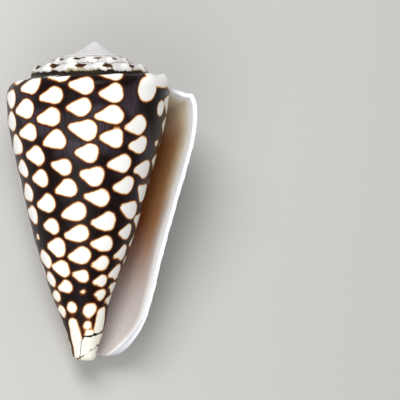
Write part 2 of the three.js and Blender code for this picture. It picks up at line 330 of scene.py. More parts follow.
def lip_angle(depth):
    """Growth angle of the free edge at a depth, which turns in towards the front end."""
    x = np.clip((depth - CORNER_START) / (LIP_END_DEPTH - CORNER_START), 0.0, 1.0)
    return CORNER_ANGLE * (1 - np.sqrt(1 - x * x))


def lip_share(growth):
    return np.maximum(0.0, 1 - growth / OPEN_ANGLE)


def pillar_share(growth):
    return smooth((growth - OPEN_ANGLE + PILLAR_FADE) / PILLAR_FADE)


def pillar_rounding(depth, front, pillar):
    x = np.clip((depth - front + PILLAR_ROUND) / PILLAR_ROUND, 0.0, 1.0)
    return 1 - pillar * PILLAR_ROUND_SHARE * (1 - np.sqrt(1 - x * x))


def roof_thickness(growth):
    bevel = BEVEL_SHARE * (1 - np.exp(-growth / BEVEL_RUN))
    thickened = between(LIP_THICKNESS, WALL_THICKNESS, between(bevel, 1.0, smooth(growth / THICKENING_RUN)))
    return between(thickened, INNER_THICKNESS, smooth((growth - THINNING_START) / THINNING_RUN))


def wall_thickness(depth, growth):
    gap = wall_radius(depth, growth) - wall_radius(depth, growth + TURN)
    return np.minimum(roof_thickness(growth), WALL_SHARE * gap)


def floor_depth(growth):
    """Depth where the hollow ends: the front end as far as it is open, then a floor that rises inside."""
    inward = smooth((growth - OPEN_ANGLE) / (HOLLOW_ANGLE - OPEN_ANGLE))
    return between(PILLAR_END_DEPTH, FLOOR_END_DEPTH, inward)


def hollow_width(growth, share):
    """Share of the hollow's full width: it closes round its inner end and along its floor."""
    inward = np.maximum(0.0, (growth - HOLLOW_ANGLE + CLOSING_ANGLE) / CLOSING_ANGLE)
    end = np.sqrt(np.maximum(0.0, 1 - inward * inward))
    floor = 1 - pillar_share(growth) * (1 - np.sqrt(1 - share ** FLOOR_CURVE))
    return end * floor


# Laying the shell down


def shell_point(radius, depth, angle):
    turn = np.radians(angle)
    return np.stack([radius * np.cos(turn), -depth + 0 * turn, -radius * np.sin(turn)], -1)


def solid_corner(column, share):
    growth = column * REST_STEP
    start = wall_top(growth)[1] + LIP_THICKNESS
    pillar = pillar_share(growth)
    depth = between(start, between(LIP_END_DEPTH, PILLAR_END_DEPTH, pillar), share)
    angle = growth + lip_angle(depth) * lip_share(growth)
    return shell_point(wall_radius(depth, angle), depth, angle)


def resting_turn():
    """Turn that lays the shell down: its resting facet faces the floor, and the spire points along +Y."""
    corner = solid_corner(REST_COLUMN + 1, REST_SHARES[0])
    back = solid_corner(REST_COLUMN, REST_SHARES[1]) - corner
    along = solid_corner(REST_COLUMN + 1, REST_SHARES[1]) - corner
    facing = Vector(np.cross(back, along)).normalized()
    level = facing.rotation_difference(Vector((0, 0, -1)))
    spire = level @ Vector((0, 1, 0))
    return Quaternion((0, 0, 1), math.atan2(spire.x, spire.y)) @ level


def solid_outline(turn):
    """Corners of the solid's outside, turned as it lies, to find the box that it was centred by."""
    corners = [shell_point(0.0, LENGTH, 0.0)[None], shell_point(0.0, 0.0, 0.0)[None]]
    growth = np.arange(0, SOLID_SPIRE_TURNS * TURN + 1, REST_STEP)
    corners.append(shell_point(*suture_at(growth), growth))
    stepped = growth[growth <= SOLID_STEPPED_TURNS * TURN]
    for share in SOLID_RAMP_SHARES:
        notch = LIP_NOTCH_ANGLE * math.sin(math.pi * share) * lip_share(stepped)
        corners.append(shell_point(*ramp_point(stepped, share), stepped + notch))
    body = growth[growth < TURN + 1]
    start = wall_top(body)[1] + LIP_THICKNESS
    pillar = pillar_share(body)
    front = between(LIP_END_DEPTH, PILLAR_END_DEPTH, pillar)
    for share in SOLID_RAMP_SHARES:
        corners.append(shell_point(*drop_point(shoulder_at(body), wall_top(body), share), body))
    for share in (0.0,) + SOLID_WALL_SHARES:
        depth = between(start, front, share)
        angle = body + lip_angle(depth) * lip_share(body)
        radius = wall_radius(depth, angle) * pillar_rounding(depth, front, pillar)
        corners.append(shell_point(radius, depth, angle))
    return np.concatenate(corners) @ turn.T


RESTING_TURN = resting_turn()
TURN_MATRIX = np.array(RESTING_TURN.to_matrix())
OUTLINE = solid_outline(TURN_MATRIX)
LOWEST, HIGHEST = OUTLINE.min(0), OUTLINE.max(0)
OFFSET = np.array([-(LOWEST[0] + HIGHEST[0]) / 2, -(LOWEST[1] + HIGHEST[1]) / 2, -LOWEST[2]])


def laid_down(points):
    """Points of the shell as it lies on the floor, in metres."""
    return (points @ TURN_MATRIX.T + OFFSET) * MM


# Patches of the surface, each a grid of columns along the growth and rows from the suture to the front end


class Patch:
    """Points of one grid of the surface, with the values that the finish reads at each."""

    def __init__(self, radius, depth, angle, growth, band):
        shape = np.broadcast(radius, depth, angle, growth).shape
        self.radius, self.depth, self.angle, self.growth, self.band = (
            np.array(np.broadcast_to(field, shape), float) for field in (radius, depth, angle, growth, band)
        )
        self.points = shell_point(self.radius, self.depth, self.angle)

    def below_shoulder(self):
        """Distance along the surface below the shoulder, and above it on the ramp as a negative number."""
        radius, depth = shoulder_at(self.growth)
        return self.depth - depth + np.where(self.band < 1, self.radius - radius, 0.0)


def spire_patch():
    """Every whorl's ramp and the drop below its shoulder."""
    growth = np.arange(SPIRE_TURNS * PER_TURN + 1) * STEP
    shoulder = shoulder_at(growth)
    first = growth < TURN
    easing = smooth((growth - TURN + TOP_EASING) / TOP_EASING)
    top, next_suture, last = wall_top(np.minimum(growth, TURN)), suture_at(0.0), suture_at(growth - TURN)
    below = [np.where(first, between(top[k], next_suture[k], easing), last[k]) for k in range(2)]
    rows = []
    for row in range(RAMP_ROWS + 1):
        share = row / RAMP_ROWS
        notch = LIP_NOTCH_ANGLE * math.sin(math.pi * share) * lip_share(growth)
        radius, depth = ramp_point(growth, share)
        rows.append((radius, depth - lip_lift(growth, share), growth + notch, share + 0 * growth))
    for row in range(1, DROP_ROWS + 1):
        share = row / DROP_ROWS
        radius, depth = drop_point(shoulder, below, share)
        rows.append((radius, depth - lip_lift(growth, (1 - share) / 2), growth, 1 + share + 0 * growth))
    radius, depth, angle, band = (np.array([row[k] for row in rows]) for k in range(4))
    return Patch(radius, depth, angle, growth, band)


def stacked(*grids):
    """Rows of several grids, one grid's after the other's: the radii, depths and angles."""
    return (np.concatenate(fields) for fields in zip(*grids))


def wall_depths(start, front):
    shares = np.arange(WALL_ROWS + 1)[:, None] / WALL_ROWS
    return between(start, front, shares), shares


def body_patch(spire):
    """The wall of the body whorl, from the drop below the shoulder to the lip's front edge."""
    growth = np.arange(PER_TURN + 1) * STEP
    top = spire.radius[-1, : PER_TURN + 1], spire.depth[-1, : PER_TURN + 1]
    start = wall_top(growth)[1] + LIP_THICKNESS
    pillar = pillar_share(growth)
    front = between(LIP_END_DEPTH, PILLAR_END_DEPTH, pillar)
    depth, _ = wall_depths(start, front)
    angle = growth + lip_angle(depth) * lip_share(growth)
    radius = wall_radius(depth, angle) * pillar_rounding(depth, front, pillar) - lip_ripple(depth, growth)
    edge_share = np.arange(LIP_ROWS + 1)[:, None] / (LIP_ROWS + 1)
    edge_radius = between(top[0], radius[0], edge_share)
    edge_depth = between(top[1], depth[0], edge_share)
    edge_angle = np.broadcast_to(growth, edge_radius.shape)
    radius, depth, angle = stacked((edge_radius, edge_depth, edge_angle), (radius, depth, angle))
    return Patch(radius, depth, angle, growth, WALL_BAND)


def inner_growth():
    """Columns of the hollow: as close as the wall's as far as the front end is open, and wider further in."""
    deep = np.arange(OPEN_ANGLE + DEEP_STEP, HOLLOW_ANGLE + 1, DEEP_STEP)
    return np.concatenate([np.arange(OPEN_STEPS + 1) * STEP, deep])


def under_patch():
    """The body whorl's surface where it runs on under the lip and into the hollow."""
    growth = inner_growth()
    start = suture_at(growth)[1] + roof_thickness(growth)
    depth, _ = wall_depths(start, floor_depth(growth))
    angle = np.broadcast_to(growth + TURN, depth.shape)
    radius = wall_radius(depth, angle) * pillar_rounding(depth, PILLAR_END_DEPTH, 1.0)
    return Patch(radius, depth, angle, angle, UNDER_BAND)


def hollow_patch(under):
    """The inside of the roof and wall, opposite the surface that runs on under them."""
    growth = inner_growth()
    thickness = roof_thickness(growth)
    start = suture_at(growth)[1] + thickness
    start_radius = wall_radius(start, growth + TURN)
    shoulder, outer_top = shoulder_at(growth), wall_top(growth)
    wall_start = outer_top[1] + LIP_THICKNESS
    edge = shoulder[0] - EDGE_INSET * thickness, shoulder[1] + thickness
    top = outer_top[0] - thickness, outer_top[1] + TOP_INSET * thickness
    end_radius = wall_radius(wall_start, growth) - thickness
    width = hollow_width(growth, 0.0)
    rows = [(under.radius[0], under.depth[0], growth)]

    def roof_row(radius, depth, angle):
        rows.append((between(start_radius, radius, width), between(start, depth, width), angle))

    for row in range(1, RAMP_ROWS + 1):
        share = row / RAMP_ROWS
        notch = LIP_NOTCH_ANGLE * math.sin(math.pi * share) * lip_share(growth)
        depth = ramp_point(growth, share)[1] - lip_lift(growth, share) + thickness
        roof_row(between(start_radius, edge[0], share), depth, growth + notch)
    for row in range(1, DROP_ROWS + 1):
        radius, depth = drop_point(edge, top, row / DROP_ROWS)
        roof_row(radius, depth - lip_lift(growth, (1 - row / DROP_ROWS) / 2), growth)
    for row in range(1, LIP_ROWS + 1):
        share = row / (LIP_ROWS + 1)
        roof_row(between(top[0], end_radius, share), between(top[1], wall_start, share), growth)

    open_front = between(LIP_END_DEPTH, PILLAR_END_DEPTH, pillar_share(growth))
    front = np.where(growth <= OPEN_ANGLE, open_front, floor_depth(growth))
    pillar = np.where(growth <= OPEN_ANGLE, pillar_share(growth), 1.0)
    full, shares = wall_depths(wall_start, front)
    closed = between(start, floor_depth(growth), shares)
    width = hollow_width(growth, shares)
    depth = between(closed, full, width)
    angle = growth + lip_angle(depth) * lip_share(growth)
    inside = wall_radius(closed, angle + TURN) * pillar_rounding(closed, PILLAR_END_DEPTH, 1.0)
    end = np.where(growth <= OPEN_ANGLE, front, PILLAR_END_DEPTH)
    outside = (wall_radius(full, angle) - wall_thickness(full, angle)) * pillar_rounding(full, end, pillar)
    outside = outside - RIPPLE_INSIDE * lip_ripple(full, growth)
    radius = between(inside, outside, width)
    roof = [np.array([row[k] for row in rows]) for k in range(3)]
    radius, depth, angle = stacked(roof, (radius, depth, angle))
    return Patch(radius, depth, angle, growth, WALL_BAND)


def lip_patch(spire, body, hollow):
    """The rounded edge of the wall, down the lip and round the front end as far as the hollow is open."""

    def along(patches):
        fields = []
        for name in ("points", "growth", "band", "radius", "depth"):
            column = [getattr(p, name)[(1 if i else 0):, 0] for i, p in enumerate(patches)]
            front = getattr(patches[-1], name)[-1, 1 : OPEN_STEPS + 1]
            fields.append(np.concatenate(column + [front]))
        return fields

    outer, inner = along([spire, body]), along([hollow])
    count = len(outer[0])
    path = np.gradient(outer[0], axis=0)
    across = inner[0] - outer[0]
    outward = np.cross(path, across)
    outward /= np.linalg.norm(outward, axis=1)[:, None] + TINY
    ends = smooth(np.arange(count) / LIP_ROUND_START) * smooth((count - 1 - np.arange(count)) / LIP_ROUND_END)
    rows = [outer]
    for row in range(1, LIP_ROWS + 1):
        share = row / (LIP_ROWS + 1)
        rounded = between(share, 0.5 - 0.5 * math.cos(math.pi * share), ends)[:, None]
        bulge = LIP_BULGE * np.linalg.norm(across, axis=1) * math.sin(math.pi * share) * ends
        points = outer[0] + across * rounded + outward * bulge[:, None]
        rows.append([points] + [between(a, b, share) for a, b in zip(outer[1:], inner[1:])])
    rows.append(inner)
    points, growth, band, radius, depth = (np.array([row[k] for row in rows]) for k in range(5))
    patch = Patch(radius, depth, 0.0, growth, band)
    patch.points = points
    return patch


def body_radius(growth, below):
    """Radius of the surface at a distance below the shoulder."""
    radius, depth = shoulder_at(growth)
    return np.where(below < 0, radius + below, wall_radius(depth + below, growth))


class Spots:
    """White spots on the unrolled outside: rounded drops whose points face the lip."""

    def __init__(self, settings):
        random = np.random.default_rng(settings.seed)
        growth, below = self.relaxed(*self.laid_out(random))
        radius = body_radius(growth, below)
        free = np.full(len(growth), True)
        for mark in MARKS:
            free &= from_mark(growth, below, radius, mark) > MARK_GAP + MARK_GAP_SHARE * mark[-1]
        self.growth, self.below, self.radius = growth[free], below[free], radius[free]
        count = len(self.growth)
        length = settings.spot_length / MM * curve_at(COLUMN_SPACING, self.below) / COLUMN_SPACING[0][1]
        height = settings.spot_height / MM * curve_at(ROW_SPACING, self.below) / ROW_SPACING[0][1]
        kind = random.random(count)
        size = random.normal(1.0, SIZE_SPREAD, count)
        size = np.where(kind < SMALL_SPOTS, SMALL_SIZE, np.where(kind > 1 - LARGE_SPOTS, LARGE_SIZE, size))
        _, _, gap = self.spacing(self.growth, self.below)
        size = np.minimum(size, CROWDED_SIZE * gap.min(1))
        lean = np.radians(random.normal(0.0, LEAN_SPREAD, count))
        self.corners = []
        for along, across, rounding in SPOT_CORNERS:
            r = rounding * height * size * random.uniform(*ROUNDING_SPREAD, count)
            x = (along + random.normal(0, CORNER_SHIFT[0], count)) * length * size
            y = (across + random.normal(0, CORNER_SHIFT[1], count)) * height * size - np.sign(across) * r
            self.corners.append((x * np.cos(lean) - y * np.sin(lean), x * np.sin(lean) + y * np.cos(lean), r))
        self.layer = self.layered()

    def laid_out(self, random):
        """Staggered rows, each as close as the shell's girth there allows."""
        growth, below = [], []
        fine = np.arange(FIRST_SPOT, LAST_SPOT)
        row, at = 0, FIRST_ROW
        while at < LAST_ROW:
            pitch = 2 * curve_at(COLUMN_SPACING, at)
            counted = np.cumsum(np.radians(body_radius(fine, at + 0 * fine)) / pitch)
            counted -= np.interp(TURN / 2, fine, counted)
            counts = np.arange(math.ceil(counted[0]), counted[-1]) + 0.5 * (row % 2)
            growth.append(np.interp(counts, counted, fine))
            below.append(np.full(len(counts), at))
            row, at = row + 1, at + curve_at(ROW_SPACING, at) / 2
        growth, below = np.concatenate(growth), np.concatenate(below)
        shake = random.normal(0.0, SHAKE, (2, len(growth)))
        columns, rows = curve_at(COLUMN_SPACING, below), curve_at(ROW_SPACING, below)
        return growth + np.degrees(shake[0] * columns / body_radius(growth, below)), below + shake[1] * rows

    def spacing(self, growth, below):
        """How far apart spots are round the shell, down it, and in all, in steps of the spacing there."""
        radius = body_radius(growth, below)
        across = np.radians(growth[:, None] - growth) * (radius / curve_at(COLUMN_SPACING, below)) * HEX_WIDTH
        down = (below[:, None] - below) / curve_at(ROW_SPACING, below)
        return across, down, np.hypot(across, down) + np.eye(len(growth)) * FAR_FROM_SPOTS

    def relaxed(self, growth, below):
        """Moves spots apart that are too close."""
        for _ in range(RELAXING_STEPS):
            across, down, gap = self.spacing(growth, below)
            push = np.maximum(0.0, 1.0 - gap) * RELAXING_SHARE / gap
            turned = (push * across).sum(1) * curve_at(COLUMN_SPACING, below) / HEX_WIDTH
            growth = growth + np.degrees(turned / body_radius(growth, below))
            below = below + (push * down).sum(1) * curve_at(ROW_SPACING, below)
        return growth, below

    def layered(self):
        """A layer for each spot, so that neighbours are on different layers and stay apart on the mesh."""
        _, _, gap = self.spacing(self.growth, self.below)
        layer = np.full(len(gap), -1)
        for i in range(len(gap)):
            room = [gap[i, layer == k].min(initial=FAR_FROM_SPOTS) for k in range(LAYERS)]
            layer[i] = int(np.argmax(room))
        return layer

    def distances(self, growth, below, radius):
        """Distance in millimetres from the edge of the nearest spot of each layer, negative inside it."""
        nearest = np.full((LAYERS, *growth.shape), FAR_FROM_SPOTS)
        for i, layer in enumerate(self.layer):
            reach = np.degrees(SPOT_REACH / self.radius[i])
            near = (np.abs(growth - self.growth[i]) < reach) & (np.abs(below - self.below[i]) < SPOT_REACH)
            if near.any():
                x = np.radians(growth[near] - self.growth[i]) * radius[near]
                y = below[near] - self.below[i]
                found = rounded_outline(x, y, [tuple(part[i] for part in corner) for corner in self.corners])
                nearest[layer][near] = np.minimum(nearest[layer][near], found)
        white_end = np.maximum(np.radians(WHITE_END_FROM - growth) * radius, below - WHITE_END_BELOW)
        for mark in MARKS:
            white_end = np.minimum(white_end, from_mark(growth, below, radius, mark))
        white_end = np.where(growth < TURN + OPEN_ANGLE, white_end, FAR_FROM_SPOTS)
        nearest[0] = np.minimum(nearest[0], white_end)
        return nearest


def from_mark(growth, below, radius, mark):
    """Distance in millimetres from the edge of a white mark that runs down the shell."""
    at, start, end, half_width = mark
    beyond = np.maximum(0.0, np.maximum(start - below, below - end))
    return np.hypot(np.radians(growth - at) * radius, beyond) - half_width


def rounded_outline(x, y, corners):
    """Distance from the outline drawn tightly round a ring of discs, each an x, a y and a radius."""
    outside = np.full(x.shape, FAR_FROM_SPOTS)
    inside = np.full(x.shape, -SPOT_REACH)
    for start, end in zip(corners, corners[1:] + corners[:1]):
        outside = np.minimum(outside, tapered_bar(x, y, start, end))
        run, rise = end[0] - start[0], end[1] - start[1]
        beyond = ((x - start[0]) * rise - (y - start[1]) * run) / (math.hypot(run, rise) + TINY)
        inside = np.maximum(inside, beyond)
    smallest = min(corner[2] for corner in corners)
    return np.where(inside < 0, np.minimum(outside, inside - smallest), outside)


def tapered_bar(x, y, start, end):
    """Distance from a bar with round ends of two radii."""
    run, rise = end[0] - start[0], end[1] - start[1]
    taper = start[2] - end[2]
    square = run * run + rise * rise + TINY
    slant = max(square - taper * taper, TINY)
    x, y = x - start[0], y - start[1]
    along = x * run + y * rise
    beyond = along - square
    aside = (x * square - run * along) ** 2 + (y * square - rise * along) ** 2
    along_squared, beyond_squared = along * along * square, beyond * beyond * square
    limit = math.copysign(1.0, taper) * taper * taper * aside
    at_end = np.sqrt(aside + beyond_squared) / square - end[2]
    at_start = np.sqrt(aside + along_squared) / square - start[2]
    halfway = (np.sqrt(aside * slant / square) + along * taper) / square - start[2]
    result = np.where(np.sign(along) * slant * along_squared < limit, at_start, halfway)
    return np.where(np.sign(beyond) * slant * beyond_squared > limit, at_end, result)


def add_patch(name, patch, spots, material):
    """A grid, shaped row by row into one part of the surface.

    Its place attribute holds turns back from the lip, millimetres below the shoulder and the band, and its
    spots attribute the distance to the nearest spot of each layer.
    """
    rows, columns = patch.radius.shape
    bpy.ops.mesh.primitive_grid_add(x_subdivisions=columns - 1, y_subdivisions=rows - 1, size=1.0)
    piece = bpy.context.object
    piece.name = name
    piece.data.vertices.foreach_set("co", laid_down(patch.points).reshape(-1).astype(np.float32))
    piece.data.materials.append(material)
    below = patch.below_shoulder()
    corners = np.zeros(len(piece.data.loops), int)
    piece.data.loops.foreach_get("vertex_index", corners)
    for field, parts in (
        ("place", (patch.growth / TURN, below, patch.band)),
        ("spots", spots.distances(patch.growth, below, patch.radius)),
    ):
        values = np.stack([part.reshape(-1) for part in parts], -1)[corners]
        attribute = piece.data.attributes.new(field, "FLOAT_VECTOR", "CORNER")
        attribute.data.foreach_set("vector", values.reshape(-1).astype(np.float32))
    return piece


def joined(name, pieces):
    """One closed mesh from the patches: edges that meet are merged, and the two small ends are filled."""
    bpy.ops.object.select_all(action="DESELECT")
    for piece in pieces:
        piece.select_set(True)
    bpy.context.view_layer.objects.active = pieces[0]
    bpy.ops.object.join()
    shell = bpy.context.object
    shell.name = name
    bpy.ops.object.mode_set(mode="EDIT")
    bpy.ops.mesh.select_mode(type="VERT")
    bpy.ops.mesh.select_all(action="SELECT")
    bpy.ops.mesh.remove_doubles(threshold=MERGE_DISTANCE)
    bpy.ops.mesh.dissolve_degenerate(threshold=SMALLEST_EDGE)
    for at_tip in (True, False):
        fill_end(shell, at_tip)
    bpy.ops.mesh.select_all(action="SELECT")
    bpy.ops.mesh.normals_make_consistent(inside=False)
    bpy.ops.mesh.select_all(action="DESELECT")
    bpy.ops.object.mode_set(mode="OBJECT")
    bpy.ops.object.shade_smooth()
    mark_ends(shell)
    return shell


def fill_end(shell, at_tip):
    """Closes the small spiral opening at the tip of the spire, or at the front end of the pillar."""
    bpy.ops.mesh.select_all(action="DESELECT")
    bpy.ops.mesh.select_non_manifold(
        extend=False, use_wire=False, use_multi_face=False, use_non_contiguous=False, use_verts=False
    )
    bpy.ops.object.mode_set(mode="OBJECT")
    vertices = shell.data.vertices
    for edge in shell.data.edges:
        edge.select = edge.select and (vertices[edge.vertices[0]].co.y > 0) == at_tip
    for vertex in vertices:
        vertex.select = vertex.select and (vertex.co.y > 0) == at_tip
    bpy.ops.object.mode_set(mode="EDIT")
    bpy.ops.mesh.fill(use_beauty=True)


def mark_ends(shell):
    """Gives the two filled ends the places that they continue."""
    place = shell.data.attributes["place"].data
    spots = shell.data.attributes["spots"].data
    for corner, value in enumerate(place):
        if not any(value.vector):
            at_tip = shell.data.vertices[shell.data.loops[corner].vertex_index].co.y > 0
            value.vector = TIP_PLACE if at_tip else PILLAR_PLACE
            spots[corner].vector = (FAR_FROM_SPOTS,) * LAYERS


# Sockets of a Mix node that are for colours: its share and two colours, and its result
MIX_INPUTS = (0, 6, 7)
MIX_RESULT = 2


class NodeBoard:
    """Adds shader nodes to one tree and links them."""

    def __init__(self, tree):
        self.tree = tree

    def add(self, kind, inputs=None, **settings):
        node = self.tree.nodes.new(kind)
        for name, value in settings.items():
            setattr(node, name, value)
        for name, value in (inputs or {}).items():
            self.put(node.inputs[name], value)
        return node

    def put(self, socket, value):
        if isinstance(value, bpy.types.NodeSocket):
            self.tree.links.new(value, socket)
        else:
            socket.default_value = value

    def calc(self, operation, *values):
        node = self.add("ShaderNodeMath", operation=operation)
        for socket, value in zip(node.inputs, values):
            self.put(socket, value)
        return node.outputs[0]

    def times(self, product, *others):
        """All the values multiplied together."""
        for other in others:
            product = self.calc("MULTIPLY", product, other)
        return product

    def times_plus(self, value, share, base):
        """A share of one value added to another."""
        return self.calc("MULTIPLY_ADD", value, share, base)

    def fade(self, value, start, end, low=0.0, high=1.0):
        """A smooth change from low to high as value goes from start to end."""
        node = self.add("ShaderNodeMapRange", interpolation_type="SMOOTHSTEP")
        names = ("Value", "From Min", "From Max", "To Min", "To Max")
        for name, number in zip(names, (value, start, end, low, high)):
            self.put(node.inputs[name], number)
        return node.outputs[0]

    def line(self, value, start, end):
        """A straight change from 0 to 1 as value goes from start to end."""
        inputs = {"Value": value, "From Min": start, "From Max": end}
        return self.add("ShaderNodeMapRange", inputs).outputs[0]

    def ramp(self, value, stops):
        """Colours in order along a value, each stop a position and a colour."""
        node = self.add("ShaderNodeValToRGB", {"Fac": value})
        elements = node.color_ramp.elements
        while len(elements) < len(stops):
            elements.new(0.5)
        for element, (position, colour) in zip(elements, stops):
            element.position = position
            element.color = opaque(colour)
        return node.outputs[0]

    def blend(self, share, first, second):
        node = self.add("ShaderNodeMix", data_type="RGBA")
        for index, value in zip(MIX_INPUTS, (share, first, second)):
            self.put(node.inputs[index], value)
        return node.outputs[MIX_RESULT]

    def noise(self, vector, scale, detail=2.0, roughness=0.5):
        inputs = {"Vector": vector, "Scale": scale, "Detail": detail, "Roughness": roughness}
        return self.add("ShaderNodeTexNoise", inputs).outputs[0]

    def waver(self, vector, *noise):
        """Noise that varies about nought."""
        return self.calc("SUBTRACT", self.noise(vector, *noise), 0.5)

    def object_point(self):
        return self.add("ShaderNodeTexCoord").outputs["Object"]

    def attribute(self, name):
        """The three numbers of a vector attribute."""
        vector = self.add("ShaderNodeAttribute", attribute_name=name).outputs["Vector"]
        return self.add("ShaderNodeSeparateXYZ", {"Vector": vector}).outputs


def opaque(colour):
    return (*colour, 1.0)


def new_material(name):
    material = bpy.data.materials.new(name)
    material.use_nodes = True
    return material, NodeBoard(material.node_tree), material.node_tree.nodes["Principled BSDF"]


def finish_surface(board, shader, colour, roughness, height, strength, distance):
    bump = board.add("ShaderNodeBump", {"Height": height, "Strength": strength, "Distance": distance})
    board.put(shader.inputs["Base Color"], colour)
    board.put(shader.inputs["Roughness"], roughness)
    board.put(shader.inputs["Normal"], bump.outputs[0])


# Growth lines. A closeness is how many noise cells there are in a turn, and LINES_DOWN their number in a
# millimetre down the shell. A noise is its scale, then its detail and roughness where they aren't the usual.
USUAL_CLOSENESS = 900.0
LINES_DOWN = 0.12
LINES_NOISE = (1.0, 3.0, 0.65)


def growth_lines_group():
    """Fine lines that run down the shell, one after another round it: a value that varies about a half."""
    group = bpy.data.node_groups.new("growth lines", "ShaderNodeTree")
    for name, default in (("Turns", 0.0), ("Below", 0.0), ("Closeness", USUAL_CLOSENESS)):
        socket = group.interface.new_socket(name, in_out="INPUT", socket_type="NodeSocketFloat")
        socket.default_value = default
    group.interface.new_socket("Lines", in_out="OUTPUT", socket_type="NodeSocketFloat")
    board = NodeBoard(group)
    given = board.add("NodeGroupInput").outputs
    across = board.times(given["Turns"], given["Closeness"])
    down = board.times(given["Below"], LINES_DOWN)
    at = board.add("ShaderNodeCombineXYZ", {"X": across, "Y": down}).outputs[0]
    board.add("NodeGroupOutput", {"Lines": board.noise(at, *LINES_NOISE)})
    return group


def growth_lines(board, group, turns, below, closeness):
    inputs = {"Turns": turns, "Below": below, "Closeness": closeness}
    return board.add("ShaderNodeGroup", inputs, node_tree=group).outputs[0]


# Fades. Each is where it starts and ends, and its two values where they aren't 0 and 1. TURNS are turns back
# from the lip, BELOW millimetres below the shoulder, BANDS bands, and EDGE millimetres beyond a spot's edge.

# The whole outside
FINE_CLOSENESS = 1100.0
BROAD_CLOSENESS = 220.0
PATCHY_NOISE = (260.0, 4.0, 0.6)
SPIRE_FROM_TURNS = (0.985, 1.03)
SPIRE_BANDS = (2.5, 2.4)
INSIDE_FROM_TURNS = (1.02, 1.12)
INSIDE_BANDS = (2.4, 2.5)
OUTSIDE_ROUGHNESS = (0.3, 0.8, 0.20, 0.36)
SPIRE_ROUGHER = 0.22
SPIRE_RELIEF_LOST = 0.6
BROAD_RELIEF = 1.5
OUTSIDE_BUMP = (0.3, 0.00012)
OUTSIDE_SPECULAR = 0.12


def marbled_material(settings, lines_group):
    """Glossy near-black net round white, orange-rimmed spots, with a pale spire and a cream front end."""
    material, board, shader = new_material("marbled shell")
    turns, below, band = board.attribute("place")
    point = board.object_point()
    fine_lines = growth_lines(board, lines_group, turns, below, FINE_CLOSENESS)
    broad_lines = growth_lines(board, lines_group, turns, below, BROAD_CLOSENESS)
    patchy = board.waver(point, *PATCHY_NOISE)

    wall = wall_colour(board, settings, below, point, fine_lines)
    wall = front_end_colour(board, settings, wall, turns, below, patchy)
    wall = ramp_colour(board, settings, wall, turns, band, patchy)
    spire = spire_colour(board, settings, turns, band, broad_lines, point)
    on_spire = board.times(board.fade(turns, *SPIRE_FROM_TURNS), board.fade(band, *SPIRE_BANDS))
    colour = board.blend(on_spire, wall, spire)
    # Deep inside the hollow: the same dark brown, partly its own colour and partly painted shade
    inside = board.times(board.fade(turns, *INSIDE_FROM_TURNS), board.fade(band, *INSIDE_BANDS))
    colour = board.blend(inside, colour, opaque(settings.deep_brown_and_shade_colour))

    roughness = board.times_plus(on_spire, SPIRE_ROUGHER, board.fade(fine_lines, *OUTSIDE_ROUGHNESS))
    relief = board.calc("SUBTRACT", 1.0, board.times(on_spire, SPIRE_RELIEF_LOST))
    height = board.times(board.times_plus(broad_lines, BROAD_RELIEF, fine_lines), relief)
    finish_surface(board, shader, colour, roughness, height, *OUTSIDE_BUMP)
    shader.inputs["Specular IOR Level"].default_value = OUTSIDE_SPECULAR
    return material


# Spots, their rims, and the painted sheen of the net
SPOT_NOISE = (360.0, 3.0, 0.6)
SPOT_WAVER = 0.8
SPOTS_GROWN_BELOW = (64.0, 73.0, 0.0, 0.4)
RIM_EDGE = (-1.0, 1.0)
RIM_STOPS = (0.19, 0.33, 0.44, 0.53, 0.62, 0.80)
RIM_CREAM = (0.95, 0.87, 0.68)
RIM_BROWN = (0.19, 0.055, 0.015)
RIM_BLACK = (0.045, 0.007, 0.003)
# Painted sheen: where a violet-grey reflection is painted on the net, by distance below the shoulder, patches,
# streaks and distance from the spots
PAINTED_SHEEN_BELOW = (52.0, 8.0, 0.0, 0.9)
PAINTED_SHEEN_NOISE = 75.0
PAINTED_SHEEN_PATCHES = (0.47, 0.62)
PAINTED_SHEEN_STREAKS = (0.36, 0.7, 0.2, 1.0)
PAINTED_SHEEN_EDGE = (0.2, 0.7)
CREAM_BELOW = (50.0, 76.0)
CREAM_EDGE = (-0.2, -0.5)
CREAM_SHARE = 0.8


def wall_colour(board, settings, below, point, fine_lines):
    """White spots with orange-brown rims on the net, with a violet-grey sheen painted on its upper part as a
    reflection.
    """
    layers = board.attribute("spots")
    nearest = board.calc("MINIMUM", board.calc("MINIMUM", layers[0], layers[1]), layers[2])
    edge = board.times_plus(board.waver(point, *SPOT_NOISE), SPOT_WAVER, nearest)
    edge = board.calc("SUBTRACT", edge, board.fade(below, *SPOTS_GROWN_BELOW))
    rim = (settings.spot_colour, RIM_CREAM, settings.rim_colour, RIM_BROWN, RIM_BLACK, settings.net_colour)
    spots = board.ramp(board.line(edge, *RIM_EDGE), list(zip(RIM_STOPS, rim)))
    # Painted sheen: a violet-grey reflection painted into the net's colour on its upper part, in streaks along
    # the growth lines
    painted_sheen = board.times(
        board.fade(below, *PAINTED_SHEEN_BELOW), board.fade(board.noise(point, PAINTED_SHEEN_NOISE), *PAINTED_SHEEN_PATCHES),
        board.fade(fine_lines, *PAINTED_SHEEN_STREAKS), board.fade(edge, *PAINTED_SHEEN_EDGE),
    )
    spots = board.blend(painted_sheen, spots, opaque(settings.painted_sheen_colour))
    cream = board.times(board.fade(below, *CREAM_BELOW), board.fade(edge, *CREAM_EDGE), CREAM_SHARE)
    return board.blend(cream, spots, opaque(settings.callus_colour))


# Front end and its two lines, whose WAVERs are millimetres. The lines fade by distance from their middle.
FRONT_WAVER = 3.4
FRONT_START_TURNS = (0.61, 0.73, 79.0, 72.4)
FRONT_START = (-0.1, 0.1)
BLACK_LINE = (0.42, 0.22)
BROWN_WAVER = 2.6
BROWN_LINE_TURNS = (0.6, 0.9, 77.8, 76.2)
BROWN_LINE = (0.3, 0.12)
BROWN_LINE_BREAKS = (-0.14, -0.06)
BROWN_LINE_COLOUR = (0.14, 0.03, 0.015)


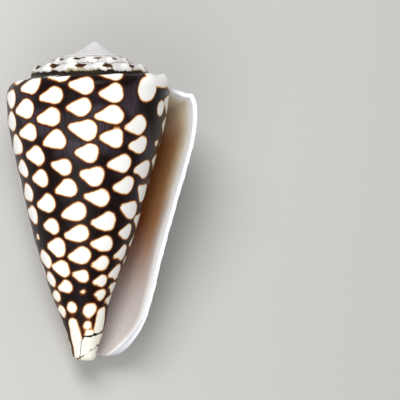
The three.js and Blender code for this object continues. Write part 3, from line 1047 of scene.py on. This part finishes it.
def front_end_colour(board, settings, wall, turns, below, patchy):
    """Cream front end, with a wavy black line round it and a thin brown one below."""
    past = board.calc("SUBTRACT", below, board.fade(turns, *FRONT_START_TURNS))
    past = board.times_plus(patchy, FRONT_WAVER, past)
    colour = board.blend(board.fade(past, *FRONT_START), wall, opaque(settings.callus_colour))
    black = board.fade(board.calc("ABSOLUTE", past), *BLACK_LINE)
    colour = board.blend(black, colour, opaque(settings.net_colour))
    lower = board.calc("SUBTRACT", below, board.fade(turns, *BROWN_LINE_TURNS))
    beside = board.calc("ABSOLUTE", board.times_plus(patchy, BROWN_WAVER, lower))
    brown = board.times(board.fade(beside, *BROWN_LINE), board.fade(patchy, *BROWN_LINE_BREAKS))
    return board.blend(brown, colour, opaque(BROWN_LINE_COLOUR))


# Last ramp
TOP_SEAM_WAVER = 0.7
TOP_SEAM_BANDS = (0.34, 0.2)
TOP_SEAM_TURNS = (0.93, 0.9)
TOP_SEAM_COLOUR = (0.018, 0.014, 0.006)
RAMP_END_WAVER = 0.05
RAMP_END_TURNS = (0.085, 0.065)
RAMP_END_BANDS = (2.0, 1.7)


def ramp_colour(board, settings, wall, turns, band, patchy):
    """Olive-black seam at the top of the last ramp, and the ramp's white end at the lip."""
    seam = board.fade(board.times_plus(patchy, TOP_SEAM_WAVER, band), *TOP_SEAM_BANDS)
    seam = board.times(seam, board.fade(turns, *TOP_SEAM_TURNS))
    colour = board.blend(seam, wall, opaque(TOP_SEAM_COLOUR))
    end = board.fade(board.times_plus(patchy, RAMP_END_WAVER, turns), *RAMP_END_TURNS)
    end = board.times(end, board.fade(band, *RAMP_END_BANDS))
    return board.blend(end, colour, opaque(settings.spot_colour))


# Spire: knob tops whitened as a painted highlight, flames between the knobs, and seams. WAVEs are cosines, 1
# on the knobs and -1 between them.
ROUGH_NOISE = (520.0, 4.0, 0.65)
KNOB_HIGHLIGHT_WAVE = (-0.5, 0.7)
KNOB_HIGHLIGHT_BANDS = (0.5, 1.1, 0.3, 1.0)
KNOB_HIGHLIGHT_TURNS = (4.2, 2.6)
PALE_LINES = (0.35, 0.8, 0.0, 0.6)
PALE_AND_HIGHLIGHT_COLOUR = (0.86, 0.86, 0.84)
FLAME_LEAN = 1.1
FLAME_WAVE = (0.1, -1.0)
FLAME_NOISE = (1.3, 0.0)
FLAME_STRENGTHS = (0.3, 0.62, 0.15, 1.12)
FLAME_TOP_BANDS = (0.0, 0.5)
FLAME_FOOT_BANDS = (1.65, 1.25)
FLAME_TURNS = (4.0, 2.3)
FLAME_ROUGHNESS = 2.4
FLAME_OUTER = (0.24, 0.5, 0.0, 0.85)
FLAME_OUTER_COLOUR = (0.40, 0.25, 0.10)
FLAME_HEART = (0.45, 0.72)
FLAME_HEART_COLOUR = (0.045, 0.015, 0.008)
SEAM_ROUGHNESS = 0.8
SEAM_FOOT_BANDS = (1.90, 1.97)
SEAM_TOP_BANDS = (0.1, 0.02)
SEAM_TURNS = (5.5, 2.0, 0.15, 0.8)
SEAM_COLOUR = (0.20, 0.17, 0.17)
LAST_WHORL_TURNS = (2.1, 1.9)
OLIVE_BANDS = (1.50, 1.68)
OLIVE_NOISE = 110.0
OLIVE_PATCHES = (0.42, 0.58, 0.1, 0.9)
OLIVE_COLOUR = (0.34, 0.29, 0.11)
BLACK_SEAM_BANDS = (1.68, 1.80)
BLACK_SEAM_COLOUR = (0.016, 0.010, 0.005)


def spire_colour(board, settings, turns, band, broad_lines, point):
    """Grey-white whorls whose knob tops are whitened as a painted highlight, with brown flames between the
    knobs and seams that darken towards the body.
    """
    phase = board.times(turns, 2 * math.pi * KNOBS_PER_WHORL)
    # Painted highlight: the knob tops are whitened and the gaps between them stay grey, as light and shade on
    # the knobs
    knobs = board.times(
        board.fade(board.calc("COSINE", phase), *KNOB_HIGHLIGHT_WAVE), board.fade(band, *KNOB_HIGHLIGHT_BANDS),
        board.fade(turns, *KNOB_HIGHLIGHT_TURNS),
    )
    # The pale colour holds both the real pale growth streaks and the painted highlight on the knob tops
    pale = board.calc("MAXIMUM", knobs, board.fade(broad_lines, *PALE_LINES))
    spire = board.blend(pale, opaque(settings.spire_colour), opaque(PALE_AND_HIGHLIGHT_COLOUR))
    rough = board.waver(point, *ROUGH_NOISE)
    flame = board.times_plus(rough, FLAME_ROUGHNESS, flame_strength(board, turns, band, phase))
    spire = board.blend(board.fade(flame, *FLAME_OUTER), spire, opaque(FLAME_OUTER_COLOUR))
    spire = board.blend(board.fade(flame, *FLAME_HEART), spire, opaque(FLAME_HEART_COLOUR))
    return seam_colour(board, spire, turns, board.times_plus(rough, SEAM_ROUGHNESS, band), point)


def flame_strength(board, turns, band, phase):
    """The flames lean between the knobs, and vary from one gap to the next."""
    leaning = board.calc("COSINE", board.times_plus(band, FLAME_LEAN, phase))
    along = board.add("ShaderNodeCombineXYZ", {"X": board.times(turns, KNOBS_PER_WHORL)}).outputs[0]
    return board.times(
        board.fade(leaning, *FLAME_WAVE), board.fade(board.noise(along, *FLAME_NOISE), *FLAME_STRENGTHS),
        board.fade(band, *FLAME_TOP_BANDS), board.fade(band, *FLAME_FOOT_BANDS),
        board.fade(turns, *FLAME_TURNS),
    )


def seam_colour(board, spire, turns, band, point):
    """Seams between the whorls, with an olive stain and a black line where the spire meets the body."""
    seam = board.calc("MAXIMUM", board.fade(band, *SEAM_FOOT_BANDS), board.fade(band, *SEAM_TOP_BANDS))
    spire = board.blend(board.times(seam, board.fade(turns, *SEAM_TURNS)), spire, opaque(SEAM_COLOUR))
    last = board.fade(turns, *LAST_WHORL_TURNS)
    stained = board.fade(board.noise(point, OLIVE_NOISE), *OLIVE_PATCHES)
    olive = board.times(last, board.fade(band, *OLIVE_BANDS), stained)
    spire = board.blend(olive, spire, opaque(OLIVE_COLOUR))
    black = board.times(last, board.fade(band, *BLACK_SEAM_BANDS))
    return board.blend(black, spire, opaque(BLACK_SEAM_COLOUR))


# Lining of the mouth
LINING_CLOSENESS = 260.0
SHIFT_NOISE = 60.0
SHIFT_TURNS = 0.03
SHIFT_BELOW = 10.0
BEIGE_BELOW = (42.0, 16.0)
LOW_MOUTH_COLOUR = (0.60, 0.55, 0.53)
LIP_WHITE_TURNS = (0.0, 0.012)
LIP_WHITE = (0.97, 0.97, 0.96)
LIP_TURNS = (0.006, 0.036)
# The mouth's brown is partly painted shade, darkening deeper in
DEEP_TURNS = (0.06, 0.13)
MOUTH_BROWN_AND_SHADE = (0.42, 0.20, 0.08)
BROWN_TOP_BELOW = (-3.0, 14.0)
BROWN_FOOT_BELOW = (64.0, 34.0)
BROWN_TURNS = (0.015, 0.066)
LINING_LINES = (0.3, 0.75, 0.0, 0.1)
LINING_LINES_COLOUR = (0.3, 0.2, 0.12)
LINING_ROUGHNESS = (0.3, 0.8, 0.24, 0.38)
LINING_BUMP = (0.2, 0.0001)


def lining_material(settings, lines_group):
    """Porcelain-smooth mouth: bluish white at the lip, then beige, and brown beside the body whorl that
    darkens deeper in, partly the lining's own brown and partly painted shade.
    """
    material, board, shader = new_material("mouth lining")
    turns, below, _ = board.attribute("place")
    lines = growth_lines(board, lines_group, turns, below, LINING_CLOSENESS)
    shift = board.waver(board.object_point(), SHIFT_NOISE)
    inward = board.times_plus(shift, SHIFT_TURNS, turns)
    down = board.times_plus(shift, SHIFT_BELOW, below)
    beige = board.fade(down, *BEIGE_BELOW)
    beige = board.blend(beige, opaque(LOW_MOUTH_COLOUR), opaque(settings.lining_colour))
    edge = board.fade(turns, *LIP_WHITE_TURNS)
    edge = board.blend(edge, opaque(settings.lip_colour), opaque(LIP_WHITE))
    colour = board.blend(board.fade(inward, *LIP_TURNS), edge, beige)
    # Brown beside the body whorl, darker deeper in: partly the lining's own brown and partly painted shade of
    # the recess
    brown = board.fade(inward, *DEEP_TURNS)
    brown = board.blend(brown, opaque(MOUTH_BROWN_AND_SHADE), opaque(settings.deep_brown_and_shade_colour))
    brown_and_shade_share = board.times(
        board.fade(down, *BROWN_TOP_BELOW), board.fade(down, *BROWN_FOOT_BELOW),
        board.fade(inward, *BROWN_TURNS),
    )
    colour = board.blend(brown_and_shade_share, colour, brown)
    colour = board.blend(board.fade(lines, *LINING_LINES), colour, opaque(LINING_LINES_COLOUR))
    finish_surface(board, shader, colour, board.fade(lines, *LINING_ROUGHNESS), lines, *LINING_BUMP)
    return material


def colour_setting(name, description, default):
    return FloatVectorProperty(name=name, description=description, subtype="COLOR", size=3, default=default)


class ConeShellSettings(bpy.types.PropertyGroup):
    """Sizes and colours of the shell, and the studio's light."""

    seed: IntProperty(
        name="Pattern", description="Number that the pattern of spots grows from", default=26, min=0,
    )
    spot_length: FloatProperty(
        name="Spot length", description="Length of a full-sized spot round the shell", default=0.0084,
        min=0.001, max=0.02, unit="LENGTH",
    )
    spot_height: FloatProperty(
        name="Spot height", description="Height of a full-sized spot down the shell", default=0.0056,
        min=0.001, max=0.02, unit="LENGTH",
    )
    net_colour: colour_setting("Net", "Near-black brown between the spots", (0.006, 0.002, 0.0015))
    # Colour of the painted sheen, a reflection painted on the upper part of the net
    painted_sheen_colour: colour_setting(
        "Painted sheen", "Violet-grey bloom on the upper part of the net", (0.085, 0.066, 0.085),
    )
    spot_colour: colour_setting("Spots", "White of the spots", (0.96, 0.95, 0.93))
    rim_colour: colour_setting("Rim", "Orange-brown edge of each spot", (0.70, 0.38, 0.13))
    callus_colour: colour_setting("Front end", "Cream of the front end", (0.95, 0.92, 0.80))
    spire_colour: colour_setting("Spire", "Grey of the spire", (0.62, 0.60, 0.61))
    lining_colour: colour_setting("Mouth", "Beige of the inside of the mouth", (0.84, 0.74, 0.54))
    # Brown deep in the mouth, partly its own colour and partly painted shade
    deep_brown_and_shade_colour: colour_setting(
        "Deep mouth", "Brown of the mouth beside the body whorl", (0.36, 0.115, 0.03),
    )
    lip_colour: colour_setting("Lip", "Bluish white of the lip's edge", (0.86, 0.87, 0.91))
    light_power: FloatProperty(
        name="Key light", description="Power of the soft main light", default=2.3, min=0.0, unit="POWER",
    )


# Patches that have the mouth's lining
LINED = ("hollow", "lip")


class SHELL_OT_build(bpy.types.Operator):
    """Build the cone shell as it lies on its back"""

    bl_idname = "cone_shell.build"
    bl_label = "Cone shell"

    def execute(self, context):
        spire = spire_patch()
        body = body_patch(spire)
        under = under_patch()
        hollow = hollow_patch(under)
        lip = lip_patch(spire, body, hollow)
        patches = {"spire": spire, "body": body, "under": under, "hollow": hollow, "lip": lip}
        settings = context.scene.cone_shell
        spots = Spots(settings)
        lines = growth_lines_group()
        outside, lining = marbled_material(settings, lines), lining_material(settings, lines)
        pieces = [
            add_patch(name, patch, spots, lining if name in LINED else outside)
            for name, patch in patches.items()
        ]
        shell = joined("cone_shell", pieces)
        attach(shell, "root")
        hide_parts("shell")
        return {"FINISHED"}


class SHELL_OT_stage(bpy.types.Operator):
    """Set the floor, the soft lights and the camera"""

    bl_idname = "cone_shell.stage"
    bl_label = "Floor, lights and camera"

    def execute(self, context):
        add_floor()
        add_lights(context.scene.cone_shell.light_power)
        add_camera()
        context.scene.view_settings.view_transform = "Standard"
        return {"FINISHED"}


def add_floor():
    """A plain floor that the shell just touches."""
    bpy.ops.mesh.primitive_plane_add(size=FLOOR_SIZE, location=(0, 0, 0))
    floor = bpy.context.object
    floor.name = "floor"
    shell = bpy.data.objects["cone_shell"].data
    floor.location.z = min(vertex.co.z for vertex in shell.vertices)
    material, _, shader = new_material("pale floor")
    shader.inputs["Base Color"].default_value = FLOOR_TONE
    shader.inputs["Roughness"].default_value = FLOOR_ROUGHNESS
    floor.data.materials.append(material)


def add_lights(key_power):
    """White surroundings, and soft lights from the left."""
    world = bpy.data.worlds.new("studio")
    bpy.context.scene.world = world
    world.use_nodes = True
    background = world.node_tree.nodes["Background"]
    background.inputs["Color"].default_value = WORLD_TONE
    background.inputs["Strength"].default_value = WORLD_LIGHT
    for name, place, size, share in LIGHTS:
        bpy.ops.object.light_add(type="AREA", location=place)
        light = bpy.context.object
        light.name = name
        light.data.shape = "SQUARE"
        light.data.size = size
        light.data.energy = key_power * share
        light.rotation_mode = "QUATERNION"
        light.rotation_quaternion = (Vector(LIGHTS_AIM) - Vector(place)).to_track_quat("-Z", "Y")


def add_camera():
    """A long lens, square on to the coiling axis, facing the mouth, with the tip where the photo has it."""
    right = Vector((math.cos(AXIS_LEAN), math.sin(AXIS_LEAN), 0))
    up = Vector((-math.sin(AXIS_LEAN), math.cos(AXIS_LEAN), 0))
    towards = Vector((0, 0, 1))
    half = FRAME_PIXELS / 2
    middle = (right * (half - TIP_PIXEL[0]) - up * (half - TIP_PIXEL[1])) * MM_PER_PIXEL
    distance = FRAME_PIXELS * MM_PER_PIXEL * LENS / SENSOR
    place = laid_down(np.array(middle + towards * distance))
    bpy.ops.object.camera_add(location=place)
    camera = bpy.context.object
    camera.data.lens = LENS
    camera.data.sensor_width = SENSOR
    axes = [RESTING_TURN @ axis for axis in (right, up, towards)]
    camera.rotation_mode = "QUATERNION"
    camera.rotation_quaternion = Matrix(axes).transposed().to_quaternion()
    bpy.context.scene.camera = camera


class SHELL_PT_panel(bpy.types.Panel):
    """Buttons and settings of the cone shell"""

    bl_idname = "SHELL_PT_panel"
    bl_label = "Cone Shell"
    bl_space_type = "VIEW_3D"
    bl_region_type = "UI"
    bl_category = "Cone Shell"

    def draw(self, context):
        for operator in OPERATORS:
            self.layout.operator(operator.bl_idname)
        for name in ConeShellSettings.__annotations__:
            self.layout.prop(context.scene.cone_shell, name)


OPERATORS = (SHELL_OT_build, SHELL_OT_stage)
CLASSES = (ConeShellSettings, *OPERATORS, SHELL_PT_panel)


def register():
    for cls in CLASSES:
        bpy.utils.register_class(cls)
    bpy.types.Scene.cone_shell = PointerProperty(type=ConeShellSettings)


def unregister():
    del bpy.types.Scene.cone_shell
    for cls in reversed(CLASSES):
        bpy.utils.unregister_class(cls)


def main():
    register()
    bpy.ops.cone_shell.build()
    bpy.ops.cone_shell.stage()


if __name__ == "__main__":
    main()
